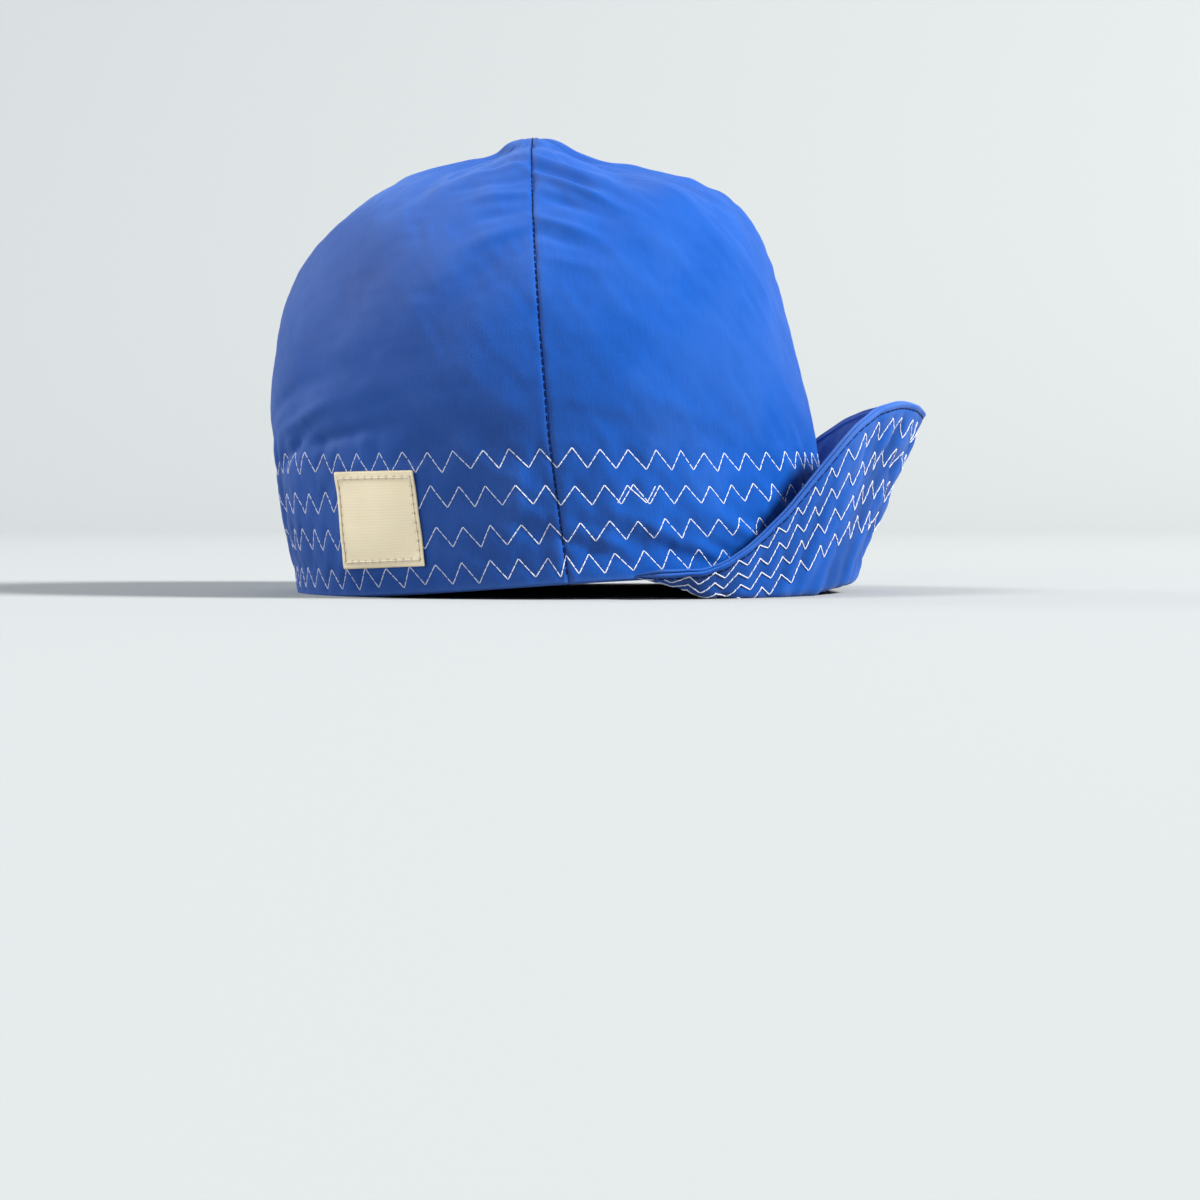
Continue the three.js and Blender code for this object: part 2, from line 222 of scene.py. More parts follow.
# Zigzag rows on the band: height above the rim, peak to trough, and the length of one full zigzag. A row
# guided by hand wanders a little, and the lowest one crowds where it crosses the right side seam.
row_heights = (6.1, 18.5, 31.8, 44.6)
zigzag_height, zigzag_length = 7.3, 9.6
turn_jitter, height_jitter, row_drift = 0.28, 0.22, 0.5
crowding, crowded_reach = (3.4, 0, 0, 0), 9
zigzag_lines = []
for number, height in enumerate(row_heights):
    draw = np.random.default_rng(40 + number)
    squeeze = crowding[number]
    count = 2 * int(round((girth + 2 * squeeze) / zigzag_length))
    even = np.linspace(0, girth + 2 * squeeze, count + 1)
    turns = even - squeeze * (1 + np.tanh((even - squeeze - front_width) / crowded_reach))
    jitter = draw.normal(0, turn_jitter, count + 1)
    jitter[-1] = jitter[0]
    up_or_down = np.where(np.arange(count + 1) % 2, 1, -1)
    reach = up_or_down * zigzag_height / 2 + draw.normal(0, height_jitter, count + 1)
    reach[-1] = reach[0]
    drift = row_drift * np.sin(turns / girth * 2 * np.pi * (number + 2))
    zigzag_lines.append((turns + jitter, height + drift + reach))


# One straight crease that fades out at its ends and sides. It leans in degrees from the first direction.
def crease(along, aside, lean, half_length, half_width):
    lean = np.radians(lean)
    lengthwise = (along * np.cos(lean) + aside * np.sin(lean)) / half_length
    sideways = (aside * np.cos(lean) - along * np.sin(lean)) / half_width
    return np.exp(-lengthwise ** 2 - sideways ** 2)


# How far the cloth stands out from the crown's shape. Where a label covers it, only folds and creases stay.
def crown_relief(side, end, angle, station, covered=False):
    up = np.interp(station, fine_stations, fine_travel)
    around = round_from(side, end, angle)
    radius = along_column(crown_levels["side"], station)
    narrowing = radius / crown_levels["side"][0]
    settled = np.minimum(1, along_column(crown_levels["height"], station) / band_height)
    degrees = -side * (90 + end * np.degrees(angle))
    relief = np.zeros_like(up)
    for place, share, lean, length, width, depth in main_folds:
        over, rise = np.radians(degrees - place) * radius, up - share * cloth_length
        fold = crease(rise, over, lean, length * rim_width, width * rim_width)
        relief = relief + settled * depth * cloth * fold
    ahead = (front_width - around) * narrowing
    for place, height, lean, length, width, depth in fine_creases:
        relief = relief + depth * crease(ahead - place, up - height, lean, length, width)
    free = smooth_step(up, 2, 12)
    relief = relief + free * 1.5 * crumple(around, up, 44, 48, 3, girth)
    if covered:
        return relief

    fine = np.zeros_like(up)
    for size, slant, cell_across, cell_up, seed in crumples:
        fine = fine + free * size * crumple(around + slant * up, up, cell_across, cell_up, seed, girth)

    # The band's two layers pucker between the rows, and most of all behind the label.
    on_band = 1 - smooth_step(up, band_height - 3, band_height + 6)
    behind_label = smooth_step(around, front_width + 60, front_width + 135)
    behind_label = behind_label * (1 - smooth_step(around, girth - 230, girth - 150))
    pucker = crumple(around + 0.25 * up, up, 5.4, 17, 5, girth)
    fine = fine + free * on_band * (0.46 + 0.7 * behind_label) * pucker

    # Each zigzag leg pulls a groove into the cloth. The legs are steep, so the distance across one is
    # about half the distance up or down from it.
    groove_depth, groove_reach, across_leg = 0.38, 1.15, 0.55
    for turns, heights in zigzag_lines:
        line = np.interp(np.mod(around - turns[0], girth) + turns[0], turns, heights)
        fine = fine - groove_depth * np.exp(-(((up - line) * across_leg) / groove_reach) ** 2)

    # Beside a seam the cloth puckers, more so near the tip. It dips into the seam, beside a low ridge over
    # the turned-in edge.
    arc = arc_from_side_seam(end, angle)
    width = np.where(end < 0, front_width, back_width)
    near_tip = smooth_step(up, 100, 165)
    for gap, seed in ((arc, 44), (width - arc, 48)):
        gap = gap * narrowing
        front_pucker = crumple(0 * up, up, 9, 5.2, seed)
        back_pucker = crumple(0 * up, up, 9, 6.1, seed + 1)
        pucker = np.where(end < 0, front_pucker, back_pucker)
        fine = fine + (0.20 + 0.5 * near_tip) * free * pucker * np.exp(-gap / (7 + 7 * near_tip))
        fine = fine - 0.45 * np.exp(-(gap / 0.65) ** 2) + 0.10 * np.exp(-((gap - 2.2) / 1.4) ** 2)

    # The seams' ends make a low round bump at the tip, where the other relief fades out.
    bump_height, bump_ring, bump_reach, fade_out = 1.9, 4, 9.5, 14
    bump = bump_height * np.exp(-((cloth_length - up - bump_ring) / bump_reach) ** 2)
    clear = smooth_step(np.abs(around - front_width - label_from_seam) / label_width, 0.5, 0.62)
    clear = np.maximum(clear, smooth_step(np.abs(up - label_lift) / label_height, 0.5, 0.62))
    return (relief + clear * fine) * smooth_step(cloth_length - up, 0, fade_out) + bump


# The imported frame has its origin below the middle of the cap's outline, so the crown is set by its back
# panel.
back_seam = crown_shape(-1, 1, np.full_like(fine_stations, np.pi / 2), fine_stations)
back_reach = back_seam[:, 1].max() + seam_gap / 2
frame_shift = np.array([0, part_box("panel_back_right")[1][1] / MM - back_reach, 0])


def crown_cloth(side, end, angle, station, lift=0.0, covered=False):
    side, end, angle, station = np.broadcast_arrays(side, end, angle, station)
    place = crown_shape(side, end, angle, station)
    out = crown_relief(side, end, angle, station, covered) + lift
    point = place + crown_normal(side, end, angle, station) * out[..., None] + frame_shift
    point[..., 2] = np.maximum(point[..., 2], 0)
    return point


# A closed piece of cloth between two faces, with a rounded lip round its edge. Each point has its place on
# the cloth in millimetres, weave, and its wear and painted shade: above 0 where it is rubbed pale, below 0
# where shade is painted into its hollows. On the label the same value paints shade into its needle holes.
def cloth_piece(name, outer, inner, weave, wear_and_painted_shade, material):
    # The lip counts as worn: rubbed pale on the twill, and painted shade on the label's canvas.
    lip_share, lip_wear_and_shade = 0.32, 0.6
    rows, columns = outer.shape[:2]
    count = rows * columns
    index = np.arange(count).reshape(rows, columns)
    loop = np.concatenate([index[0, :-1], index[:-1, -1], index[-1, :0:-1], index[:0:-1, 0]])
    inward = np.concatenate([index[1, :-1], index[:-1, -2], index[-2, :0:-1], index[:0:-1, 1]])
    flat_outer, flat_inner = outer.reshape(-1, 3), inner.reshape(-1, 3)
    beyond = flat_outer[loop] - flat_outer[inward]
    beyond /= np.maximum(np.linalg.norm(beyond, axis=1, keepdims=True), 1e-6)
    thick = np.linalg.norm(flat_outer[loop] - flat_inner[loop], axis=1, keepdims=True)
    lip = (flat_outer[loop] + flat_inner[loop]) / 2 + beyond * thick * lip_share
    lip[:, 2] = np.maximum(lip[:, 2], 0)
    points = np.concatenate([flat_outer, flat_inner, lip]) * MM
    quads = np.stack([index[:-1, :-1], index[:-1, 1:], index[1:, 1:], index[1:, :-1]], -1).reshape(-1, 4)
    edge = np.arange(len(loop)) + 2 * count
    following = np.roll(edge, -1)
    loop_next = np.roll(loop, -1)
    upper = np.stack([loop_next, loop, edge, following], -1)
    lower = np.stack([following, edge, loop + count, loop_next + count], -1)
    faces = np.concatenate([quads, quads[:, ::-1] + count, upper, lower])
    mesh = bpy.data.meshes.new(name)
    mesh.from_pydata(points.tolist(), [], faces.tolist())
    marks = np.concatenate([weave.reshape(-1, 2), weave.reshape(-1, 2), weave.reshape(-1, 2)[loop]])
    worn_and_shaded = np.concatenate([wear_and_painted_shade.ravel(), wear_and_painted_shade.ravel(), np.maximum(wear_and_painted_shade.ravel()[loop], lip_wear_and_shade)])
    corners = np.empty(len(mesh.loops), dtype=np.int32)
    mesh.loops.foreach_get("vertex_index", corners)
    mesh.uv_layers.new(name="weave").data.foreach_set("uv", marks[corners].ravel())
    mesh.attributes.new("wear_and_painted_shade", "FLOAT", "POINT").data.foreach_set("value", worn_and_shaded)
    mesh.validate()
    mesh.shade_smooth()
    mesh.materials.append(material)
    piece = bpy.data.objects.new(name, mesh)
    bpy.context.collection.objects.link(piece)
    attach(piece, "root")
    return piece


def hex_colour(code):
    channels = [int(code[place:place + 2], 16) / 255 for place in (1, 3, 5)]
    return tuple(c / 12.92 if c <= 0.04045 else ((c + 0.055) / 1.055) ** 2.4 for c in channels) + (1,)


# Adds a node with its settings, then gives its inputs their values or links them to another node's output.
def add_node(material, kind, inputs=None, **settings):
    node = material.node_tree.nodes.new("ShaderNode" + kind)
    for name, value in settings.items():
        setattr(node, name, value)
    for name, value in (inputs or {}).items():
        if isinstance(value, bpy.types.NodeSocket):
            material.node_tree.links.new(value, node.inputs[name])
        else:
            node.inputs[name].default_value = value
    return node


# Reactive-dyed cotton twill, two up and one down: soft to the eye, with little gloss, a bloom at grazing
# angles, a faint diagonal rib, streaks of thicker thread 0.7 mm wide, and paler threads where seams and
# edges rub. Hollows in its relief are darkened with painted shade. The rib is drawn at 0.9 mm along the
# rim, about twice its real spacing, to show.
def cotton_twill(name, shade, light, bloom):
    twill_pitch, fuzz_grain, fade_patch = 0.9, 0.35, 30
    dark_thread, light_thread = 0.93, 1.05
    material = bpy.data.materials.new(name)
    material.use_nodes = True
    shader = material.node_tree.nodes["Principled BSDF"]
    weave = add_node(material, "UVMap", uv_map="weave")
    rib = add_node(material, "TexWave", {
        "Vector": weave.outputs["UV"], "Scale": 2 * np.pi / 10 / twill_pitch, "Distortion": 1.2,
        "Detail": 1.0, "Detail Scale": 2.0}, bands_direction="DIAGONAL")
    fuzz = add_node(material, "TexNoise", {
        "Vector": weave.outputs["UV"], "Scale": 1 / fuzz_grain, "Detail": 3.0, "Roughness": 0.6})
    fade = add_node(material, "TexNoise", {
        "Vector": weave.outputs["UV"], "Scale": 1 / fade_patch, "Detail": 4.0, "Roughness": 0.55})
    dyed = add_node(material, "Mix", {
        "Factor": fade.outputs["Fac"], "A": hex_colour(shade), "B": hex_colour(light)}, data_type="RGBA")
    slub = add_node(material, "Mapping", {"Vector": weave.outputs["UV"], "Scale": (1.4, 0.12, 1)})
    thick_threads = add_node(material, "TexNoise", {
        "Vector": slub.outputs["Vector"], "Scale": 1.0, "Detail": 2.0})
    streaked = add_node(material, "MapRange", {
        "Value": thick_threads.outputs["Fac"], "From Min": 0.3, "From Max": 0.7,
        "To Min": dark_thread, "To Max": light_thread})
    ribbed = add_node(material, "MapRange", {
        "Value": rib.outputs["Fac"], "To Min": dark_thread, "To Max": light_thread})
    threads = add_node(material, "Math", {
        0: streaked.outputs["Result"], 1: ribbed.outputs["Result"]}, operation="MULTIPLY")
    wear_and_painted_shade = add_node(material, "Attribute", attribute_name="wear_and_painted_shade")
    # Painted shade: where the value is below 0, in hollows, the tone is darkened to as little as 0.66.
    painted_hollow_shade = add_node(material, "MapRange", {
        "Value": wear_and_painted_shade.outputs["Fac"], "From Min": -0.8, "From Max": 0, "To Min": 0.66})
    shaded = add_node(material, "Math", {
        0: threads.outputs["Value"], 1: painted_hollow_shade.outputs["Result"]}, operation="MULTIPLY")
    tone = add_node(material, "HueSaturation", {
        "Color": dyed.outputs["Result"], "Value": shaded.outputs["Value"]})
    rubbed = add_node(material, "MapRange", {"Value": wear_and_painted_shade.outputs["Fac"], "To Max": 0.2})
    worn_and_shaded = add_node(material, "Mix", {
        "Factor": rubbed.outputs["Result"], "A": tone.outputs["Color"], "B": hex_colour(bloom)},
        data_type="RGBA")
    raised_rib = add_node(material, "Math", {0: rib.outputs["Fac"], 1: 0.6}, operation="MULTIPLY")
    surface = add_node(material, "Math", {
        0: raised_rib.outputs["Value"], 1: fuzz.outputs["Fac"]}, operation="ADD")
    relief = add_node(material, "Bump", {
        "Strength": 0.35, "Distance": 0.15 * MM, "Height": surface.outputs["Value"]})
    material.node_tree.links.new(worn_and_shaded.outputs["Result"], shader.inputs["Base Color"])
    material.node_tree.links.new(relief.outputs["Normal"], shader.inputs["Normal"])
    shader.inputs["Roughness"].default_value = 0.65
    shader.inputs["Specular IOR Level"].default_value = 0.35
    shader.inputs["Sheen Weight"].default_value = 0.2
    shader.inputs["Sheen Roughness"].default_value = 0.4
    shader.inputs["Sheen Tint"].default_value = hex_colour(bloom)
    return material


blue_twill = cotton_twill("royal_blue_cotton_twill", "#0c418c", "#0e499c", "#7496d0")


# One gore, with closer rows of points along its edges, where the cloth dips into the seams.
def crown_panel(name, side, end):
    cell = 1.15
    width = front_width if end < 0 else back_width
    edge = np.array([0, 0.25, 0.5, 0.8, 1.2, 1.8, 2.6, 3.6])
    middle = np.linspace(edge[-1], width - edge[-1], int(width / cell))[1:-1]
    arcs = np.concatenate([edge, middle, width - edge[::-1]])
    angles = np.interp(arcs, quarter_arcs[end], fine_angles)
    angles[0], angles[-1] = 0, np.pi / 2
    travel = np.concatenate([[0, 0.4, 0.9, 1.5], np.linspace(2.4, cloth_length, int(cloth_length / cell))])
    stations = np.interp(travel, fine_travel, fine_stations)
    stations[0], stations[-1] = 0, tip
    if side * end < 0:
        angles, arcs = angles[::-1], arcs[::-1]
    angle, station = np.meshgrid(angles, stations)
    weave = np.stack(np.meshgrid(arcs, travel), -1)
    wall = np.interp(weave[..., 1], [band_height - 2, band_height + 2], [band_cloth, cloth])
    inset = np.array([side, end, 0]) * seam_gap / 2
    outer = crown_cloth(side, end, angle, station) + inset
    inner = crown_cloth(side, end, angle, station, -wall) + inset
    from_seam = np.minimum(weave[..., 0], width - weave[..., 0])
    raised = crown_relief(side, end, angle, station) - crown_relief(side, end, angle, station, covered=True)
    wear_and_painted_shade = 0.2 * np.exp(-(from_seam / 1.2) ** 2) + 0.4 * np.exp(-(weave[..., 1] / 1.4) ** 2)
    # Ridges of the fine relief count as a little rubbed, and its hollows get painted shade.
    wear_and_painted_shade = wear_and_painted_shade + 0.3 * np.clip(raised / 1.2, -1, 0.5)
    panel = cloth_piece(name, outer, inner, weave, wear_and_painted_shade, blue_twill)
    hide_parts(name.replace("cloth_", ""))


crown_panel("cloth_panel_front_right", -1, -1)
crown_panel("cloth_panel_front_left", 1, -1)
crown_panel("cloth_panel_back_right", -1, 1)
crown_panel("cloth_panel_back_left", 1, 1)


# Bill: two layers of the same twill, sewn to the rim, folded just below it and turned up round the front.
# A lockstitch runs round its free edge, and four zigzag rows quilt the layers, which pucker between them.
bill_depth, bill_tip_angle, bill_turn_up = 62, 11, 79
bill_cloth = 1.2
bill_thickness = 2 * bill_cloth + sewn_gap

# From an end of the bill to its middle: how much of the hang, of the turn and of the depth it has. The
# free edge is rounded where the two halves meet in front.
bill_stations = {
    "along": np.array([0, 0.1, 0.2, 0.3, 0.4, 0.5, 0.62, 0.74, 0.87, 1]),
    "hang": np.array([0, 0.36, 0.82, 1, 1, 0.96, 0.84, 0.66, 0.46, 0.26]),
    "turn": np.array([0.08, 0.42, 0.76, 0.93, 0.985, 0.995, 0.985, 0.955, 0.895, 0.8]),
    "depth": np.array([0.05, 0.065, 0.12, 0.24, 0.41, 0.63, 0.89, 1, 1.01, 0.975]),
}
bill_front_round = 0.03
bill_fine = np.linspace(0, len(bill_stations["along"]) - 1, 901)
bill_fine_along = along_column(bill_stations["along"], bill_fine)
bill_half_length = front_width * (1 - bill_tip_angle / 90)


def bill_share(name, along):
    from_end = 1 - np.hypot(along, bill_front_round)
    return along_column(bill_stations[name], np.interp(from_end, bill_fine_along, bill_fine))


# The bill before its relief. Along runs from -1 at the right end to 1 at the left one. Across is 0 at the
# rim, 1 where the fold starts, 2 where it ends and 3 at the free edge. Lift goes from the outer face
# towards the crown. The ends are tucked into the band's cloth, where they are sewn in.
def bill_shape(along, across, lift):
    along, across, lift = np.broadcast_arrays(along, across, lift)
    side = np.where(along < 0, -1, 1)
    front = np.full(along.shape, -1)
    ground = np.zeros(along.shape)
    angle = np.radians(bill_tip_angle) * np.abs(along) + np.pi / 2 * (1 - np.abs(along))
    outward = crown_normal(side, front, angle, ground) * (1, 1, 0)
    outward /= np.linalg.norm(outward, axis=-1, keepdims=True)
    hang = bill_share("hang", along)
    start = hang * np.pi / 2
    turn = np.radians(bill_turn_up * bill_share("turn", along))
    heading = -start + (turn + start) * np.clip(across - 1, 0, 1)
    hung = np.minimum(across, 1) * hang * bill_hang + sewn_gap
    flat = np.maximum(across - 2, 0) * bill_depth * bill_share("depth", along)
    seat = bill_thickness * np.sin(start)
    away = (hung * np.cos(start) - seat * np.sin(start) + flat * np.cos(turn)
            + bill_fold_radius * (np.sin(start) + np.sin(heading)) - lift * np.sin(heading))
    rise = (-hung * np.sin(start) - seat * np.cos(start) + flat * np.sin(turn)
            + bill_fold_radius * (np.cos(start) - np.cos(heading)) + lift * np.cos(heading))
    tuck_in, tuck_up, tuck_length = 1.4, 0.6, 0.08
    tucked = 1 - smooth_step(1 - np.abs(along), 0, tuck_length)
    away, rise = away * (1 - tucked) - tuck_in * tucked, rise * (1 - tucked) + tuck_up * tucked
    point = crown_shape(side, front, angle, ground) + outward * away[..., None] + frame_shift
    point[..., 2] = np.maximum(rim_height(-1, angle) + rise, np.maximum(lift, 0))
    return point


# Distances of the lockstitch and of the zigzag rows from the free edge at the bill's middle. The rows close
# up towards its ends.
bill_edge_seam = 1.8
bill_rows = (8.5, 20, 31.5, 43)


def row_closing(along):
    return 0.25 + 0.75 * np.clip(bill_share("depth", along), 0, 1)


def bill_depth_at(along):
    return bill_depth * bill_share("depth", along)


def bill_fold_at(along):
    turn = np.radians(bill_turn_up) * bill_share("turn", along)
    return bill_fold_radius * (bill_share("hang", along) * np.pi / 2 + turn)


def across_at(along, from_edge):
    depth = bill_depth_at(along)
    return np.where(from_edge <= depth, 3 - from_edge / depth, 2 - (from_edge - depth) / bill_fold_at(along))


def from_edge_at(along, across):
    depth = bill_depth_at(along)
    return np.where(across >= 2, (3 - across) * depth, depth + (2 - across) * bill_fold_at(along))


bill_lines = []
for number, from_edge in enumerate(bill_rows):
    draw = np.random.default_rng(70 + number)
    along = np.linspace(-0.985, 0.985, 801)
    path = bill_shape(along, np.clip(across_at(along, from_edge * row_closing(along)), 1, 3), 0.0)
    run = np.concatenate([[0], np.cumsum(np.linalg.norm(np.diff(path, axis=0), axis=1))])
    count = 2 * int(round(run[-1] / zigzag_length))
    turns = np.linspace(0, run[-1], count + 1) + draw.normal(0, 0.25, count + 1)
    stops = np.interp(turns, run, along)
    up_or_down = np.where(np.arange(count + 1) % 2, 1, -1)
    sway = up_or_down * (zigzag_height / 2 + draw.normal(0, 0.2, count + 1))
    reach = from_edge * row_closing(stops) + sway * (0.4 + 0.6 * np.clip(bill_share("depth", stops), 0, 1))
    bill_lines.append((stops, reach))


# How far the bill's cloth stands out from its shape: a broad wave, ripples between the rows, strongest in
# front and weak near the sewn edge, the grooves of the stitching and the roll of the edge.
def bill_relief(along, across):
    edge = from_edge_at(along, across)
    around = (along + 1) * bill_half_length
    free = smooth_step(across, 1.0, 1.8) * smooth_step(1 - np.abs(along), 0.02, 0.16)
    in_front = 1 - smooth_step(np.abs(along), 0.12, 0.5)
    loose = free * (0.35 + 0.65 * smooth_step(edge, 1, 11))
    relief = 1.1 * free * crumple(around, edge, 21, 24, 21)
    relief = relief + (0.75 + 0.75 * in_front) * loose * crumple(around + 0.3 * edge, edge, 6.0, 12, 22)
    relief = relief + (0.16 + 0.24 * in_front) * loose * crumple(around - 0.5 * edge, edge, 4.2, 7, 23)
    groove_depth, groove_reach, across_leg = 0.42, 1.2, 0.6
    for stops, reach in bill_lines:
        line = np.interp(along, stops, reach)
        relief = relief - groove_depth * free * np.exp(-(((edge - line) * across_leg) / groove_reach) ** 2)
    roll = np.minimum(1, 0.3 + bill_share("depth", along))
    relief = relief + 0.2 * np.exp(-((edge - 0.9) / 1.0) ** 2) * roll
    relief = relief - 0.5 * np.exp(-((edge - bill_edge_seam) / 0.6) ** 2) * roll
    return relief


def bill_cloth_point(along, across, lift=0.0):
    along, across, lift = np.broadcast_arrays(along, across, lift)
    return bill_shape(along, across, lift - bill_relief(along, across))


def bill_layer(name, lift):
    along = np.linspace(1, -1, int(2 * bill_half_length / 1.1))
    fold = np.concatenate([[0, 0.5], np.linspace(1, 2, 14)])
    flat = 2 + np.linspace(0, 1, 48)[1:]
    edge = 3 - np.array([0.055, 0.047, 0.039, 0.03, 0.02, 0.01, 0.004, 0])
    across = np.concatenate([fold, flat[flat < 2.94], edge])
    grid_along, grid_across = np.meshgrid(along, across, indexing="ij")
    low = bill_cloth_point(grid_along, grid_across, lift)
    high = bill_cloth_point(grid_along, grid_across, lift + bill_cloth)
    from_edge = from_edge_at(grid_along, grid_across)
    weave = np.stack([(grid_along + 1) * bill_half_length, from_edge], -1)
    wear_and_painted_shade = 0.45 * np.exp(-(from_edge / 1.2) ** 2) + 0.25 * np.exp(-((grid_across - 1.5) / 0.3) ** 2)
    # Ridges of the bill's relief count as a little rubbed, and its hollows get painted shade.
    wear_and_painted_shade = wear_and_painted_shade + 0.8 * np.clip(bill_relief(grid_along, grid_across) / 1.2, -1, 0.5)
    layer = cloth_piece(name, low, high, weave, wear_and_painted_shade, blue_twill)
    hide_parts(name.replace("cloth_", ""))


bill_layer("cloth_bill_outer", 0)
bill_layer("cloth_bill_inner", bill_cloth + sewn_gap)


# Threads: spun polyester, white in the zigzag rows and navy in the seams, laid as single stitches that
# dive into the cloth at each needle hole. It is dull, and its twist makes it slightly uneven in tone.
def spun_polyester(name, pale, deep, fuzz):
    twist_pitch = 0.9
    material = bpy.data.materials.new(name)
    material.use_nodes = True
    shader = material.node_tree.nodes["Principled BSDF"]
    place = add_node(material, "TexCoord")
    twist = add_node(material, "TexNoise", {
        "Vector": place.outputs["Object"], "Scale": 1 / (twist_pitch * MM), "Detail": 2.0})
    colour = add_node(material, "Mix", {
        "Factor": twist.outputs["Fac"], "A": hex_colour(deep), "B": hex_colour(pale)}, data_type="RGBA")
    relief = add_node(material, "Bump", {
        "Strength": 0.4, "Distance": 0.1 * MM, "Height": twist.outputs["Fac"]})
    material.node_tree.links.new(colour.outputs["Result"], shader.inputs["Base Color"])
    material.node_tree.links.new(relief.outputs["Normal"], shader.inputs["Normal"])
    shader.inputs["Roughness"].default_value = 0.7
    shader.inputs["Specular IOR Level"].default_value = 0.15
    shader.inputs["Sheen Weight"].default_value = fuzz
    return material


white_thread = spun_polyester("white_spun_polyester_thread", "#dedfe8", "#bcc2d4", 0.1)
navy_thread = spun_polyester("navy_spun_polyester_thread", "#101d4c", "#081130", 0.0)

# Along one stitch, the share of its length and its height over the cloth in thread radii.
stitch_steps = np.array([0, 0.05, 0.18, 0.5, 0.82, 0.95, 1])
stitch_rise = np.array([-0.1, 0.5, 0.95, 1.1, 0.95, 0.5, -0.1])


def thread_piece(name, centres, normals, radius, material):
    thread_sides = 6
    turn = np.arange(thread_sides) / thread_sides * 2 * np.pi
    count, steps = centres.shape[:2]
    along = np.gradient(centres, axis=1)
    across = np.cross(along, normals)
    across /= np.maximum(np.linalg.norm(across, axis=-1, keepdims=True), 1e-9)
    thick = radius * np.where((stitch_steps == 0) | (stitch_steps == 1), 0.5, 1)[None, :, None, None]
    offset = across[:, :, None] * np.cos(turn)[:, None] + normals[:, :, None] * np.sin(turn)[:, None]
    points = (centres[:, :, None] + offset * thick).reshape(-1, 3)
    points[:, 2] = np.maximum(points[:, 2], 0)
    index = np.arange(count * steps * thread_sides).reshape(count, steps, thread_sides)
    turned = np.roll(index, -1, axis=2)
    walls = np.stack([index[:, :-1], index[:, 1:], turned[:, 1:], turned[:, :-1]], -1).reshape(-1, 4)
    caps = np.concatenate([index[:, 0], index[:, -1, ::-1]])
    mesh = bpy.data.meshes.new(name)
    mesh.from_pydata((points * MM).tolist(), [], walls.tolist() + caps.tolist())
    mesh.validate()
    mesh.shade_smooth()
    mesh.materials.append(material)
    piece = bpy.data.objects.new(name, mesh)
    bpy.context.collection.objects.link(piece)
    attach(piece, "root")


def stitch_line(starts, ends):
    return starts[:, None] + (ends - starts)[:, None] * stitch_steps


def crown_stitches(name, start_round, start_up, end_round, end_up, radius, material, slot):
    around, up = stitch_line(start_round, end_round), stitch_line(start_up, end_up)
    side, end, angle = place_round(around)
    station = np.interp(up, fine_travel, fine_stations)
    lift = np.broadcast_to(radius * stitch_rise, around.shape)
    centres = crown_cloth(side, end, angle, station, lift)
    thread_piece(name, centres, crown_normal(side, end, angle, station), radius, material)


# A zigzag leg is three stitches long, as a three-step machine makes it.
def three_step(turns, heights):
    starts, ends = [], []
    for share in (0, 1 / 3, 2 / 3):
        starts.append((turns[:-1] + np.diff(turns) * share, heights[:-1] + np.diff(heights) * share))
        share = share + 1 / 3
        ends.append((turns[:-1] + np.diff(turns) * share, heights[:-1] + np.diff(heights) * share))
    return [np.concatenate([part[axis] for part in group]) for group in (starts, ends) for axis in (0, 1)]


thread_radius = 0.2
for number, (turns, heights) in enumerate(zigzag_lines):
    crown_stitches(f"zigzag_band_{number + 1}", *three_step(turns, heights), thread_radius,
                   white_thread, "cream_cotton")

# The third row up was begun and ended ahead of the right side seam, where the machine ran back over its
# own stitches, a little beside them.
doubled_row, doubled_from, doubled_to, doubled_shrink = 2, 38, 17, 0.9
turns, heights = zigzag_lines[doubled_row]
doubled = (turns > front_width - doubled_from) & (turns < front_width - doubled_to)
slip = np.array([1.9, 1.1, 2.3, 1.3, 2.0, 1.5])[:doubled.sum()]
backtack_heights = row_heights[doubled_row] + (heights[doubled] - row_heights[doubled_row]) * doubled_shrink
crown_stitches("zigzag_backtack", *three_step(turns[doubled] + slip, backtack_heights), thread_radius,
               white_thread, "cream_cotton")

# Seams: navy lockstitch up the four joins of the gores, just beside the dip, in stitches of 2.6 mm.
seam_stitch, stitch_break, beside_dip = 2.6, 0.45, 0.35
seam_places = {"front": 0.0, "right": front_width, "back": girth / 2, "left": girth - front_width}
for name, place in seam_places.items():
    low = np.arange(3, cloth_length - 5, seam_stitch)
    high = low + seam_stitch - stitch_break
    narrowing = np.interp(np.interp(low, fine_travel, fine_stations), np.arange(tip + 1),
                          crown_levels["side"] / crown_levels["side"][0])
    place = np.full_like(low, place) + beside_dip / np.maximum(narrowing, 0.15)
    crown_stitches(f"seam_{name}", place, low, place, high, thread_radius, navy_thread, "blue_cotton")


# Stitches on the bill's outer face. Those that reach the fold's start or the free edge are left out.
def bill_stitches(name, start_along, start_edge, end_along, end_edge, radius, material, slot):
    along, edge = stitch_line(start_along, end_along), stitch_line(start_edge, end_edge)
    across = across_at(along, edge)
    shown = (across.min(axis=1) > 1.15) & (edge.min(axis=1) > 1)
    along, across = along[shown], across[shown]
    lift = -np.broadcast_to(radius * stitch_rise, along.shape)
    centres = bill_cloth_point(along, across, lift)
    normals = bill_cloth_point(along, across, lift - 1) - centres
    normals /= np.maximum(np.linalg.norm(normals, axis=-1, keepdims=True), 1e-9)
    thread_piece(name, centres, normals, radius, material)


for number, (stops, reach) in enumerate(bill_lines):
    bill_stitches(f"zigzag_bill_{number + 1}", *three_step(stops, reach), thread_radius,
                  white_thread, "cream_cotton")

edge_along = np.arange(-0.97, 0.97, seam_stitch / bill_half_length)
edge_next = edge_along + (seam_stitch - stitch_break) / bill_half_length
edge_seam = np.full_like(edge_along, bill_edge_seam)
bill_stitches("bill_edge_stitching", edge_along, edge_seam, edge_next, edge_seam, thread_radius,
              navy_thread, "blue_cotton")
